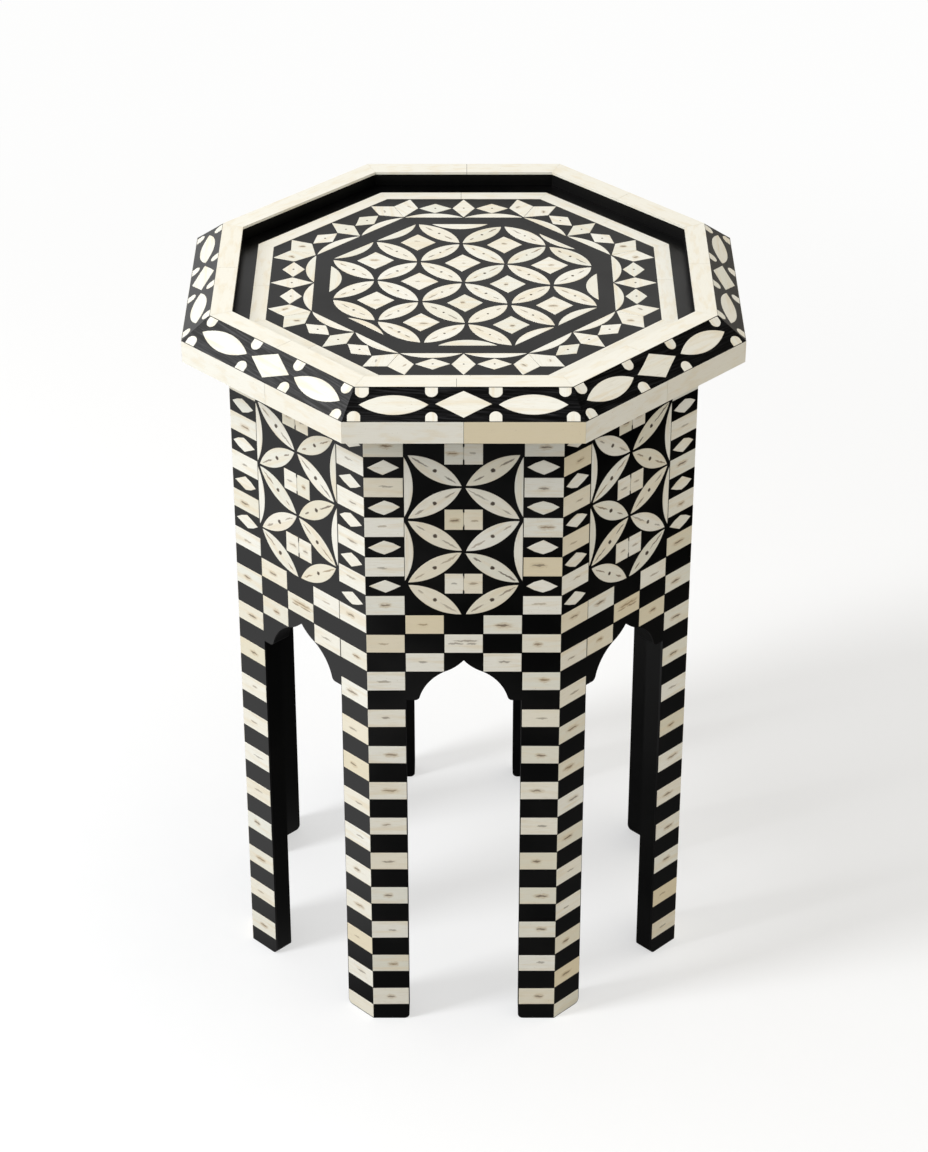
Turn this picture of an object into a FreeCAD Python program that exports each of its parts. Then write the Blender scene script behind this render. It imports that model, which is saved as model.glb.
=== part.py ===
import FreeCAD, Part
import math
import os

# Octagonal side table with bone inlay: a drum of eight mitred boards whose lower ends are
# the legs, and a lid with a bevelled rim round a sunk tray. Millimetres, +Z up, origin at
# the centre of the table on the floor. The front face looks along -Y.

# Sides, counted anticlockwise from above. The letters give the rows of the left and right
# leg column that hold bone, as seen from outside: A starts above the foot row, B in it.
SIDE_ROWS = {
    "front": "AA",
    "front_right": "BA",
    "right": "BA",
    "back_right": "BA",
    "back": "BB",
    "back_left": "AB",
    "left": "AB",
    "front_left": "AB",
}
SIDES = len(SIDE_ROWS)
TURN = 360.0 / SIDES
HALF_TURN_TAN = math.tan(math.pi / SIDES)
FIRST_ROW = {"A": 0, "B": -1}

TABLE_HEIGHT = 562.2
LID_WIDTH = 400.0         # across flats, over the edge strips

# Drum
OVERHANG = 31.5           # of the lid over the drum, measured over the bone
BOARD = 14.0              # thickness of a side board
BONE = 2.0                # thickness of every bone tile and strip
JOINT = 0.5               # width of the line between two bone tiles
LEG_WIDTH = 27.9          # width of the leg column on each face
FOOT_ROW = 13.6           # height of the lowest row
ROWS = 31                 # whole rows above the foot row
TOP_ROW = 12.7            # part of a row that shows below the lid
FOOT_ROUND = 4.0          # rounding of the foot beside the opening

# Opening between two legs: a pointed ogee arch
LEG_ROWS = 19             # whole rows below the checks above the arch
CHECK_ROWS = 3
APEX_RISE = 10.0          # arch apex above the foot of the lowest check row
ARCH_RISE = 34.7          # apex above the ledges
LEDGE = 6.9               # flat ledge between leg and arch
COVE_WIDTH = 3.0
COVE_RISE = 2.4
COVE_SAG = 0.6
OGEE_WIDTH = 13.5         # half width of the reversed curve at the apex
OGEE_RISE = 9.7
OGEE_SAG = 1.1
HAUNCH_SAG = 3.2

# Leaf field of a side
LEAF_WIDTH = 14.0
LEAF_GAP = 1.6            # from the crossing point to the tip of a leaf
LEAF_STEPS = 6            # zigzag steps from the checks to the lid
LEAF_FLATS = 4            # flats filed along each curved edge of a tile
FIELD_MARGIN = 1.4        # crossing points stay this far inside the field's edge
SLIVER_BULGE = 6.2
SLIVER_GAP = 2.2
PLAQUE_WIDTH = 26.8
PLAQUE_HEIGHT = 16.6
ROW_DIAMOND_WIDTH = 22.6
ROW_DIAMOND_HEIGHT = 11.3

# Glue blocks in the drum's corners
BLOCK_WIDTH = 25.0
BLOCK_CLEARANCE = 18.0    # foot of the blocks above the arch apex

# Lid
EDGE_HEIGHT = 16.7        # upright edge of the lid
BEVEL_RUN = 20.5
BEVEL_RISE = 16.1
RIM_WIDTH = 15.2          # flat top of the rim
TOP_BOARD = 19.0          # thickness of the lid's board

# Inlay of the bevel, measured along the side and up the slope
OVAL_WIDTH = 14.8
OVAL_CLEARANCE = 7.6      # between an oval's outer tip and the corner
BEVEL_DIAMOND_LENGTH = 39.4
BEVEL_DIAMOND_WIDTH = 20.4
BEVEL_GAP = 4.3           # between the tips of oval and diamond
TAB_WIDTH = 9.5
TAB_HEIGHT = 8.3
TAB_SHOULDER = 5.5        # straight part of a tab's sides
TAB_INSET = 8.3           # middle of the lower end tab, in from the lid's corner

# Tray floor, from the rim inwards
TRAY_MARGIN = 11.5        # black strip beside the rim
FRAME_WIDTH = 11.5        # bone frame
BORDER_WIDTH = 32.3       # rhombus border
BAND_WIDTH = 11.0         # black band inside the border

# Rhombus border
TIP_GAP = 0.6             # clear of the frame and of the neighbouring tips
CRESCENT_BULGE = 6.9
STAR_RHOMBUS_WIDTH = 17.0
SIDE_RHOMBUS_WIDTH = 16.8
ARROW_REACH = 10.8        # side tip of a corner arrow, along the side from its inner tip
ARROW_DEPTH = 18.7        # notch of a corner arrow, out from its inner tip
ARROW_TIP = 17.6          # outer tip of a corner arrow, along the frame from the corner

# Rosette: leaves on a lattice that is a little longer along one diagonal
LONG_CLEARANCE = 3.0      # between the black band and the last crossing points
SHORT_CLEARANCE = 11.4
LATTICE_TURN = -1.0       # degrees
LATTICE_REACH = 2         # lattice steps from the centre to the edge
ROSETTE_LEAF_WIDTH = 15.0
ROSETTE_LEAF_GAP = 1.8
ROSETTE_DIAMOND_GAP = 4.5   # between a diamond's edges and the leaves round it
ROSETTE_DIAMOND_STRETCH = 1.24
EDGE_SLIVER_GAP = 11.1      # slivers between the leaves on the four square sides
EDGE_SLIVER_BULGE = 8.5
END_SLIVER_GAP = 5.2        # slivers beyond the leaves at the ends of the short diagonal
END_SLIVER_BULGE = 5.5

# Heights and distances from the axis that follow
lid_apothem = LID_WIDTH / 2
body_apothem = lid_apothem - OVERHANG
board_apothem = body_apothem - BONE
inner_apothem = board_apothem - BOARD
half_face = body_apothem * HALF_TURN_TAN
leg_inner = half_face - LEG_WIDTH
rim_top = TABLE_HEIGHT
bevel_foot = rim_top - BEVEL_RISE
body_height = bevel_foot - EDGE_HEIGHT
row_height = (body_height - FOOT_ROW - TOP_ROW) / ROWS
rim_outer = lid_apothem - BEVEL_RUN
rim_inner = rim_outer - RIM_WIDTH
board_top = body_height + TOP_BOARD
tray_floor = board_top + BONE
frame_outer = rim_inner - TRAY_MARGIN
frame_inner = frame_outer - FRAME_WIDTH
crescent_line = frame_inner - BORDER_WIDTH
band_inner = crescent_line - BAND_WIDTH
lattice_long = (band_inner - LONG_CLEARANCE) / LATTICE_REACH
lattice_short = (band_inner - SHORT_CLEARANCE) / LATTICE_REACH
bevel_length = math.hypot(BEVEL_RUN, BEVEL_RISE)


def row_foot(row):
    """Height of the lower edge of a row; row -1 is the foot row."""
    return 0.0 if row < 0 else FOOT_ROW + row * row_height


def vector(point):
    return FreeCAD.Vector(*point)


def turned(shape, side):
    """Copy of a shape made at the front, turned to another side of the table."""
    copy = shape.copy()
    copy.rotate(vector((0, 0, 0)), vector((0, 0, 1)), side * TURN)
    return copy


def at_all_sides(solids):
    return [turned(solid, side) for side in range(SIDES) for solid in solids]


def save(node, solids):
    shape = solids[0] if len(solids) == 1 else Part.makeCompound(solids)
    shape.exportStep(f"parts/{node}.step")


def bar(section, left=None, right=None):
    """Straight bar along the front side. The section is a list of (apothem, height) points.

    An end without a given place is mitred against the neighbouring side.
    """
    def end(place, sign):
        points = []
        for apothem, height in section:
            along = sign * apothem * HALF_TURN_TAN if place is None else place
            points.append(vector((along, -apothem, height)))
        return points

    first = end(left, -1)
    last = end(right, 1)
    outlines = [first, last]
    for here in range(len(section)):
        after = (here + 1) % len(section)
        outlines.append([first[here], last[here], last[after], first[after]])
    faces = [Part.Face(Part.makePolygon(points + points[:1])) for points in outlines]
    return Part.makeSolid(Part.makeShell(faces))


def polygon(points):
    corners = [vector((x, y, 0)) for x, y in points]
    return Part.makePolygon(corners + corners[:1])


def rhombus(centre, width, height):
    x, y = centre
    half_width = width / 2
    half_height = height / 2
    return polygon([(x - half_width, y), (x, y - half_height), (x + half_width, y), (x, y + half_height)])


def rectangle(left, bottom, right, top):
    return polygon([(left, bottom), (right, bottom), (right, top), (left, top)])


def arc(start, end, sag):
    """Arc between two points that bulges to the left of the way from start to end."""
    length = math.dist(start, end)
    middle_x = (start[0] + end[0]) / 2 - sag * (end[1] - start[1]) / length
    middle_y = (start[1] + end[1]) / 2 + sag * (end[0] - start[0]) / length
    places = [vector((x, y, 0)) for x, y in (start, (middle_x, middle_y), end)]
    return Part.Arc(*places).toShape()


def line(start, end):
    return Part.makeLine(vector((*start, 0)), vector((*end, 0)))


def shortened(start, end, gap):
    length = math.dist(start, end)
    step_x = gap * (end[0] - start[0]) / length
    step_y = gap * (end[1] - start[1]) / length
    return (start[0] + step_x, start[1] + step_y), (end[0] - step_x, end[1] - step_y)


def bowed(start, end, sag):
    """Points from start up to end on an arc that bulges to the left of the way."""
    length = math.dist(start, end)
    ahead = ((end[0] - start[0]) / length, (end[1] - start[1]) / length)
    half_angle = 2 * math.atan(2 * sag / length)
    radius = length / 2 / math.sin(half_angle)
    points = []
    for flat in range(LEAF_FLATS):
        angle = half_angle * (2 * flat / LEAF_FLATS - 1)
        along = length / 2 + radius * math.sin(angle)
        aside = radius * (math.cos(angle) - math.cos(half_angle))
        points.append((
            start[0] + along * ahead[0] - aside * ahead[1],
            start[1] + along * ahead[1] + aside * ahead[0],
        ))
    return points


def leaf(start, end, width, gap):
    """Pointed leaf between two crossing points."""
    start, end = shortened(start, end, gap)
    return polygon(bowed(start, end, width / 2) + bowed(end, start, width / 2))


def half_leaf(start, end, bulge, gap):
    """Leaf with one straight side; it bulges to the left of the way from start to end."""
    start, end = shortened(start, end, gap)
    return polygon(bowed(start, end, bulge) + [end])


def tile(outline, placement):
    """Bone tile whose face lies in the placement's plane and whose back is seated below it."""
    solid = Part.Face(outline).extrude(vector((0, 0, -BONE)))
    solid.Placement = placement
    return solid


# Drawing planes: x runs to the right along the front side, y up the face
UPRIGHT = FreeCAD.Rotation(vector((1, 0, 0)), 90)
FACE_PLANE = FreeCAD.Placement(vector((0, -body_apothem, 0)), UPRIGHT)
BEVEL_TILT = FreeCAD.Rotation(vector((1, 0, 0)), math.degrees(math.atan2(BEVEL_RISE, BEVEL_RUN)))
BEVEL_PLANE = FreeCAD.Placement(vector((0, -lid_apothem, bevel_foot)), BEVEL_TILT)
TRAY_PLANE = FreeCAD.Placement(vector((0, 0, tray_floor)), FreeCAD.Rotation())


def arch_opening():
    """Solid that the legs and the arch stand round, cut out of a side board and its tiles."""
    apex = (0.0, row_foot(LEG_ROWS) + APEX_RISE)
    ledge_height = apex[1] - ARCH_RISE
    cove_foot = (leg_inner - LEDGE, ledge_height)
    cove_head = (cove_foot[0] - COVE_WIDTH, ledge_height + COVE_RISE)
    ogee_foot = (OGEE_WIDTH, apex[1] - OGEE_RISE)
    ledge_end = (leg_inner, ledge_height)
    round_head = (leg_inner, FOOT_ROUND)
    round_foot = (leg_inner + FOOT_ROUND, 0.0)
    round_sag = FOOT_ROUND * (1 - math.sqrt(0.5))

    def mirrored(point):
        return -point[0], point[1]

    right = [
        arc(round_foot, round_head, round_sag),
        line(round_head, ledge_end),
        line(ledge_end, cove_foot),
        arc(cove_foot, cove_head, COVE_SAG),
        arc(cove_head, ogee_foot, -HAUNCH_SAG),
        arc(ogee_foot, apex, OGEE_SAG),
    ]
    left = [edge.mirror(vector((0, 0, 0)), vector((1, 0, 0))) for edge in reversed(right)]
    outline = Part.Wire(Part.__sortEdges__(right + left + [line(mirrored(round_foot), round_foot)]))
    solid = Part.Face(outline).extrude(vector((0, 0, -BONE - BOARD)))
    solid.Placement = FACE_PLANE
    return solid


OPENING = arch_opening()


def side_board():
    section = [
        (board_apothem, 0.0),
        (board_apothem, body_height),
        (inner_apothem, body_height),
        (inner_apothem, 0.0),
    ]
    return bar(section).cut(OPENING)


def leg_tile(row, on_right):
    """Tile of a leg column: mitred at the table's corner, square at the inner edge."""
    bottom = row_foot(row) + JOINT / 2
    top = body_height if row == ROWS else row_foot(row + 1) - JOINT / 2
    section = [
        (body_apothem, bottom),
        (body_apothem, top),
        (board_apothem, top),
        (board_apothem, bottom),
    ]
    inner = leg_inner + JOINT / 2
    solid = bar(section, left=inner) if on_right else bar(section, right=-inner)
    return solid.cut(OPENING) if row < 0 else solid


def leg_column(rows, on_right):
    """Bone of one leg column: tiles in every second row, and diamonds beside the leaf field."""
    centre = (half_face - LEG_WIDTH / 2) * (1 if on_right else -1)
    field_row = LEG_ROWS + CHECK_ROWS
    solids = []
    for row in range(FIRST_ROW[rows], ROWS + 1):
        if (row - FIRST_ROW[rows]) % 2 == 0:
            solids.append(leg_tile(row, on_right))
        elif field_row <= row < ROWS:
            middle = (centre, row_foot(row) + row_height / 2)
            solids.append(tile(rhombus(middle, ROW_DIAMOND_WIDTH, ROW_DIAMOND_HEIGHT), FACE_PLANE))
    return solids


def checks():
    """Three rows of checks between the legs, the lowest cut by the arch."""
    column = 2 * leg_inner / 3
    inset = JOINT / 2
    solids = []
    for row in range(CHECK_ROWS):
        bottom = row_foot(LEG_ROWS + row) + inset
        top = row_foot(LEG_ROWS + row + 1) - inset
        for place in range(3):
            if (row + place) % 2 == 0:
                left = -leg_inner + place * column + inset
                outline = rectangle(left, bottom, left + column - JOINT, top)
                solids.append(tile(outline, FACE_PLANE))
    return [solid.cut(OPENING) for solid in solids]


def leaf_field():
    """Leaves that zigzag between the middle and the edges of the field.

    Plaques lie between them in the middle, and slivers along the edges.
    """
    bottom = row_foot(LEG_ROWS + CHECK_ROWS)
    step = (body_height - bottom) / LEAF_STEPS
    crossing = leg_inner - FIELD_MARGIN
    edge = leg_inner - JOINT / 2
    outlines = []
    for count in range(0, LEAF_STEPS, 2):
        low = bottom + count * step
        side = low + step
        high = side + step
        plaque_foot = side - PLAQUE_HEIGHT / 2
        plaque_head = side + PLAQUE_HEIGHT / 2
        outlines.append(rectangle(-PLAQUE_WIDTH / 2, plaque_foot, -JOINT / 2, plaque_head))
        outlines.append(rectangle(JOINT / 2, plaque_foot, PLAQUE_WIDTH / 2, plaque_head))
        for sign in (-1, 1):
            for middle in (low, high):
                ends = (0.0, middle), (sign * crossing, side)
                outlines.append(leaf(*ends, LEAF_WIDTH, LEAF_GAP))
            if count + 2 < LEAF_STEPS:
                ends = (sign * edge, side), (sign * edge, side + 2 * step)
                outlines.append(half_leaf(*ends, sign * SLIVER_BULGE, SLIVER_GAP))
    return [tile(outline, FACE_PLANE) for outline in outlines]


def side_inlay(rows):
    return leg_column(rows[0], False) + leg_column(rows[1], True) + checks() + leaf_field()


def corner_block():
    """Triangular glue block in the corner between the front side and its right-hand neighbour."""
    bottom = row_foot(LEG_ROWS) + APEX_RISE + BLOCK_CLEARANCE
    corner = (inner_apothem * HALF_TURN_TAN, -inner_apothem)
    turn = math.radians(TURN)
    on_front = (corner[0] - BLOCK_WIDTH, corner[1])
    on_neighbour = (corner[0] + BLOCK_WIDTH * math.cos(turn), corner[1] + BLOCK_WIDTH * math.sin(turn))
    outline = [vector((*point, bottom)) for point in (corner, on_neighbour, on_front)]
    face = Part.Face(Part.makePolygon(outline + outline[:1]))
    return face.extrude(vector((0, 0, body_height - bottom)))


# Lid sections: the wood lies one bone thickness below the finished faces
edge_wood = lid_apothem - BONE
bone_across = BONE * BEVEL_RISE / bevel_length
bone_up = BONE * BEVEL_RUN / bevel_length


def bevel_wood_height(apothem):
    """Height of the wood's bevel at a distance from the axis."""
    along = (lid_apothem - bone_across - apothem) / BEVEL_RUN
    return bevel_foot - bone_up + along * BEVEL_RISE


def bevel_wood_apothem(height):
    up = (height - bevel_foot + bone_up) / BEVEL_RISE
    return lid_apothem - bone_across - up * BEVEL_RUN


rim_wood = rim_top - BONE
rim_wood_edge = bevel_wood_apothem(rim_wood)


def lid_board():
    """Octagonal board with the foot of the bevel planed along its edge."""
    half = [
        (edge_wood, body_height),
        (edge_wood, bevel_wood_height(edge_wood)),
        (bevel_wood_apothem(board_top), board_top),
    ]

    def ring(apothem, height):
        corner = vector((apothem * HALF_TURN_TAN, -apothem, height))
        turns = [FreeCAD.Rotation(vector((0, 0, 1)), side * TURN) for side in range(SIDES)]
        return [turn.multVec(corner) for turn in turns]

    rings = [ring(*point) for point in half]
    outlines = [rings[0], rings[-1]]
    for low, high in zip(rings, rings[1:]):
        for side in range(SIDES):
            outlines.append([low[side], low[side - 1], high[side - 1], high[side]])
    faces = [Part.Face(Part.makePolygon(points + points[:1])) for points in outlines]
    return Part.makeSolid(Part.makeShell(faces))


def rim_rail():
    section = [
        (rim_inner, board_top),
        (bevel_wood_apothem(board_top), board_top),
        (rim_wood_edge, rim_wood),
        (rim_inner, rim_wood),
    ]
    return bar(section)


def strip_pair(section):
    """Two bone strips along a side, mitred at the corners, with a joint in the middle."""
    return [bar(section, right=-JOINT / 2), bar(section, left=JOINT / 2)]


def edge_strips():
    section = [
        (edge_wood, body_height),
        (lid_apothem, body_height),
        (lid_apothem, bevel_foot),
        (edge_wood, bevel_wood_height(edge_wood)),
    ]
    return strip_pair(section)


def rim_strips():
    section = [
        (rim_inner, rim_wood),
        (rim_wood_edge, rim_wood),
        (rim_outer, rim_top),
        (rim_inner, rim_top),
    ]
    return strip_pair(section)


def frame_strips():
    section = [
        (frame_inner, board_top),
        (frame_outer, board_top),
        (frame_outer, tray_floor),
        (frame_inner, tray_floor),
    ]
    return strip_pair(section)


def tab(foot, up):
    """Outline of a pointed tab that stands on an edge of the bevel, pointing up or down the slope."""
    x, y = foot
    left = x - TAB_WIDTH / 2
    right = x + TAB_WIDTH / 2
    shoulder = y + up * TAB_SHOULDER
    tip = (x, y + up * TAB_HEIGHT)
    return polygon([(left, y), (right, y), (right, shoulder), tip, (left, shoulder)])


def bevel_inlay():
    """Diamond between two pointed ovals, with tabs along both edges of the bevel."""
    middle = bevel_length / 2
    oval_near = BEVEL_DIAMOND_LENGTH / 2 + BEVEL_GAP
    oval_far = (lid_apothem - BEVEL_RUN / 2) * HALF_TURN_TAN - OVAL_CLEARANCE
    tab_near = BEVEL_DIAMOND_LENGTH / 2 + BEVEL_GAP / 2
    low_edge = JOINT
    high_edge = bevel_length - JOINT
    low_end = lid_apothem * HALF_TURN_TAN - TAB_INSET
    high_end = rim_outer * HALF_TURN_TAN - TAB_WIDTH / 2 - JOINT
    outlines = [rhombus((0.0, middle), BEVEL_DIAMOND_LENGTH, BEVEL_DIAMOND_WIDTH)]
    for sign in (-1, 1):
        outlines.append(leaf((sign * oval_near, middle), (sign * oval_far, middle), OVAL_WIDTH, 0.0))
        outlines += [tab((sign * place, low_edge), 1) for place in (tab_near, low_end)]
        outlines += [tab((sign * place, high_edge), -1) for place in (tab_near, high_end)]
    return [tile(outline, BEVEL_PLANE) for outline in outlines]


def border_inlay():
    """One side of the border: crescents, a rhombus between two flatter ones, and half arrows."""
    corner = crescent_line * HALF_TURN_TAN
    inner_tip = crescent_line + TIP_GAP
    outer_tip = frame_inner - TIP_GAP
    middle = (inner_tip + outer_tip) / 2
    notch = inner_tip + ARROW_DEPTH
    arrow_side = inner_tip * HALF_TURN_TAN - ARROW_REACH
    arrow = [
        (inner_tip * HALF_TURN_TAN - JOINT, -inner_tip),
        (arrow_side, -middle),
        (frame_inner * HALF_TURN_TAN - ARROW_TIP, -outer_tip),
        (notch * HALF_TURN_TAN - JOINT, -notch),
    ]
    star_side = STAR_RHOMBUS_WIDTH / 2
    side_length = arrow_side - star_side - 2 * TIP_GAP
    side_middle = (arrow_side + star_side) / 2
    side_height = -(crescent_line + CRESCENT_BULGE + TIP_GAP + SIDE_RHOMBUS_WIDTH / 2)
    outlines = [rhombus((0.0, -middle), STAR_RHOMBUS_WIDTH, outer_tip - inner_tip)]
    for sign in (-1, 1):
        outlines.append(rhombus((sign * side_middle, side_height), side_length, SIDE_RHOMBUS_WIDTH))
        outlines.append(polygon([(sign * x, y) for x, y in arrow]))
        ends = (0.0, -crescent_line), (sign * corner, -crescent_line)
        outlines.append(half_leaf(*ends, -sign * CRESCENT_BULGE, TIP_GAP))
    return [tile(outline, TRAY_PLANE) for outline in outlines]


def lattice_point(short_steps, long_steps):
    short_way = math.radians(LATTICE_TURN + TURN)
    long_way = math.radians(LATTICE_TURN - TURN)
    x = short_steps * lattice_short * math.cos(short_way) + long_steps * lattice_long * math.cos(long_way)
    y = short_steps * lattice_short * math.sin(short_way) + long_steps * lattice_long * math.sin(long_way)
    return x, y


def in_rosette(short_steps, long_steps):
    """The lattice is a square of crossing points without its four corners."""
    furthest = max(abs(short_steps), abs(long_steps))
    return furthest <= LATTICE_REACH and abs(short_steps) + abs(long_steps) < 2 * LATTICE_REACH


def lattice_leaf(start, end):
    """Leaf between two crossing points; at the ends of the long diagonal only its inner half."""
    at_long_end = abs(start[1]) == LATTICE_REACH and start[1] == end[1]
    here = lattice_point(*start)
    there = lattice_point(*end)
    if at_long_end:
        inward = ROSETTE_LEAF_WIDTH / 2 * (1 if start[1] > 0 else -1)
        return half_leaf(here, there, inward, ROSETTE_LEAF_GAP)
    return leaf(here, there, ROSETTE_LEAF_WIDTH, ROSETTE_LEAF_GAP)


def rosette_inlay():
    """Leaves along the lattice lines, a diamond in every whole cell, and slivers round the edge."""
    steps = range(-LATTICE_REACH, LATTICE_REACH + 1)
    diamond_edge = (lattice_short - ROSETTE_LEAF_WIDTH) / 2 - ROSETTE_DIAMOND_GAP
    diamond_depth = 2 * diamond_edge * math.hypot(1, ROSETTE_DIAMOND_STRETCH)
    diamond_width = diamond_depth / ROSETTE_DIAMOND_STRETCH
    outlines = []
    for short in steps:
        for long in steps:
            here = (short, long)
            for ahead in ((short + 1, long), (short, long + 1)):
                if in_rosette(*here) and in_rosette(*ahead):
                    outlines.append(lattice_leaf(here, ahead))
            cell = [(short, long), (short + 1, long), (short, long + 1), (short + 1, long + 1)]
            if all(in_rosette(*point) for point in cell):
                centre = lattice_point(short + 0.5, long + 0.5)
                outlines.append(rhombus(centre, diamond_width, diamond_depth))
    solids = [tile(outline, TRAY_PLANE) for outline in outlines]
    last = LATTICE_REACH
    tips = math.dist(lattice_point(last, last - 1), lattice_point(last - 1, last))
    places = [(-1, 1), (1, 1), (1, -1), (-1, -1)]
    for count, (short, long) in enumerate(places):
        middle = lattice_point(short, long)
        solids.append(edge_sliver(2 * count, middle, tips - 2 * EDGE_SLIVER_GAP, EDGE_SLIVER_BULGE))
    for count, short in enumerate((1, -1)):
        middle = lattice_point(short, 0)
        end_length = lattice_long - 2 * END_SLIVER_GAP
        solids.append(edge_sliver(4 * count + 3, middle, end_length, END_SLIVER_BULGE))
    return solids


def edge_sliver(side, middle, length, bulge):
    """Sliver with its straight edge along the black band, beside a point of the lattice."""
    line_y = -(band_inner - JOINT)
    way = math.radians(side * TURN)
    reach = LATTICE_REACH - 0.5
    along = reach * (middle[0] * math.cos(way) + middle[1] * math.sin(way))
    ends = (along - length / 2, line_y), (along + length / 2, line_y)
    return turned(tile(half_leaf(*ends, bulge, 0.0), TRAY_PLANE), side)


os.makedirs("parts", exist_ok=True)
board = side_board()
block = corner_block()
rail = rim_rail()
for side, (name, rows) in enumerate(SIDE_ROWS.items()):
    save(f"{name}_side_board", [turned(board, side)])
    save(f"{name}_side_inlay", [turned(solid, side) for solid in side_inlay(rows)])
    save(f"{name}_corner_block", [turned(block, side)])
    save(f"{name}_rim_rail", [turned(rail, side)])
save("lid_board", [lid_board()])
save("edge_strips", at_all_sides(edge_strips()))
save("rim_strips", at_all_sides(rim_strips()))
save("bevel_inlay", at_all_sides(bevel_inlay()))
save("tray_frame_strips", at_all_sides(frame_strips()))
save("tray_border_inlay", at_all_sides(border_inlay()))
save("tray_rosette_inlay", rosette_inlay())
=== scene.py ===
import math
import random

import bpy
from mathutils import Matrix, Vector
from mathutils.geometry import delaunay_2d_cdt


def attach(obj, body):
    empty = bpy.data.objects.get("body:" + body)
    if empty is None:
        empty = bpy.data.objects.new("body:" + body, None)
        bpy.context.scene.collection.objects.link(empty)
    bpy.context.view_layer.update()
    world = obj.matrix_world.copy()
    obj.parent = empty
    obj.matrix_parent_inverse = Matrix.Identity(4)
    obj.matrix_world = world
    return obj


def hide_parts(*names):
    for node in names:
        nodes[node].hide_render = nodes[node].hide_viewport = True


# Looks of the octagonal inlaid side table. Sizes are in millimetres, as in the part's source,
# and become metres where a mesh is made.

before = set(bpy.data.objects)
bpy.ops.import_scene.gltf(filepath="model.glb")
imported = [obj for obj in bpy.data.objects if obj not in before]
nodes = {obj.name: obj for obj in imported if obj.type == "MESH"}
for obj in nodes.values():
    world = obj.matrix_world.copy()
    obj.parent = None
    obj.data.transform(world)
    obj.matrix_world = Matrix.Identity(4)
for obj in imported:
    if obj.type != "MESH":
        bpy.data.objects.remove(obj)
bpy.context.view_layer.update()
dice = random.Random(7)

# Sides, counted anticlockwise from above. The letters give the rows of the left and right
# leg column that hold bone, as seen from outside: A starts above the foot row, B in it.
SIDE_ROWS = {
    "front": "AA",
    "front_right": "BA",
    "right": "BA",
    "back_right": "BA",
    "back": "BB",
    "back_left": "AB",
    "left": "AB",
    "front_left": "AB",
}
SIDES = len(SIDE_ROWS)
TURN = 360.0 / SIDES
HALF_TURN_TAN = math.tan(math.pi / SIDES)
FIRST_ROW = {"A": 0, "B": -1}

# Drum
BODY = 168.5              # from the axis to the face of a side, over the bone
BONE = 2.0                # thickness of every tile and strip
SUNK = 0.12               # resin below the bone's face
JOINT = 0.5               # width of the line between two tiles
CHAMFER = 0.22            # worn edge of a tile's face
LEG_WIDTH = 27.9
FOOT_ROW = 13.6
ROWS = 31
TOP_ROW = 12.7
FOOT_ROUND = 4.0
FOOT_TILE_SAG = 1.1
FOOT_FLATS = 5

# Opening between two legs: a pointed ogee arch
LEG_ROWS = 19
CHECK_ROWS = 3
CHECK_COLUMNS = 3
APEX_RISE = 10.0
ARCH_RISE = 34.7
LEDGE = 6.9
COVE_WIDTH = 3.0
COVE_RISE = 2.4
COVE_SAG = 0.6
COVE_FLATS = 3
HAUNCH_SAG = 3.2
HAUNCH_FLATS = 10
OGEE_WIDTH = 13.5
OGEE_RISE = 9.7
OGEE_SAG = 1.1
OGEE_FLATS = 6

# Leaf field of a side
CURVE_FLATS = 14          # flats along a curved edge of a tile
LEAF_WIDTH = 14.0
LEAF_GAP = 1.6            # from the crossing point to the tip of a leaf
LEAF_STEPS = 6
FIELD_MARGIN = 1.4
SLIVER_BULGE = 6.2
SLIVER_GAP = 2.2
PLAQUE_WIDTH = 26.8
PLAQUE_HEIGHT = 16.6
PLAQUE_JOINT = 0.12
NICK_WIDTH = 1.12         # of the plaque's joint at its ends
NICK_LENGTH = (2.5, 5.0)
NICK_SHOULDER = 0.7       # share of a nick that keeps its full width
ROW_DIAMOND_WIDTH = 22.6
ROW_DIAMOND_HEIGHT = 11.3

# Lid
LID = 200.0               # from the axis to the upright edge, over the bone
RIM_TOP = 562.2
EDGE_HEIGHT = 16.7
BEVEL_RUN = 20.5
BEVEL_RISE = 16.1
RIM_WIDTH = 15.2
TOP_BOARD = 19.0

# Inlay of the bevel
OVAL_WIDTH = 14.8
OVAL_CLEARANCE = 7.6
BEVEL_DIAMOND_LENGTH = 39.4
BEVEL_DIAMOND_WIDTH = 20.4
BEVEL_GAP = 4.3
TAB_HALF_WIDTH = (4.15, 4.7)
TAB_SHOULDER = (3.7, 4.5)
TAB_HEAD = 3.2
TAB_FLATS = 8
TAB_MIDDLE = 4.0
LOW_TAB_INSET = 8.3       # middle of the last tab, in from the corner of the lid
HIGH_TAB_INSET = 5.25

# Tray floor, from the rim inwards
TRAY_MARGIN = 11.5
FRAME_WIDTH = 11.5
BORDER_WIDTH = 32.3
BAND_WIDTH = 11.0

# Border of the tray
TIP_GAP = 0.6
CRESCENT_BULGE = 6.9
STAR_RHOMBUS_WIDTH = 17.0
SIDE_RHOMBUS_WIDTH = 16.8
SIDE_RHOMBUS_TRIM = 0.4
ARROW_REACH = 10.8
ARROW_DEPTH = 18.7
ARROW_TIP = 17.6
ARROW_JOINT = 0.05
ARROW_MIDDLE = (42.0, -127.0)
ARROW_WAY = -0.9          # grain of a corner arrow, in radians
ARROW_DASH = 2.4

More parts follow.
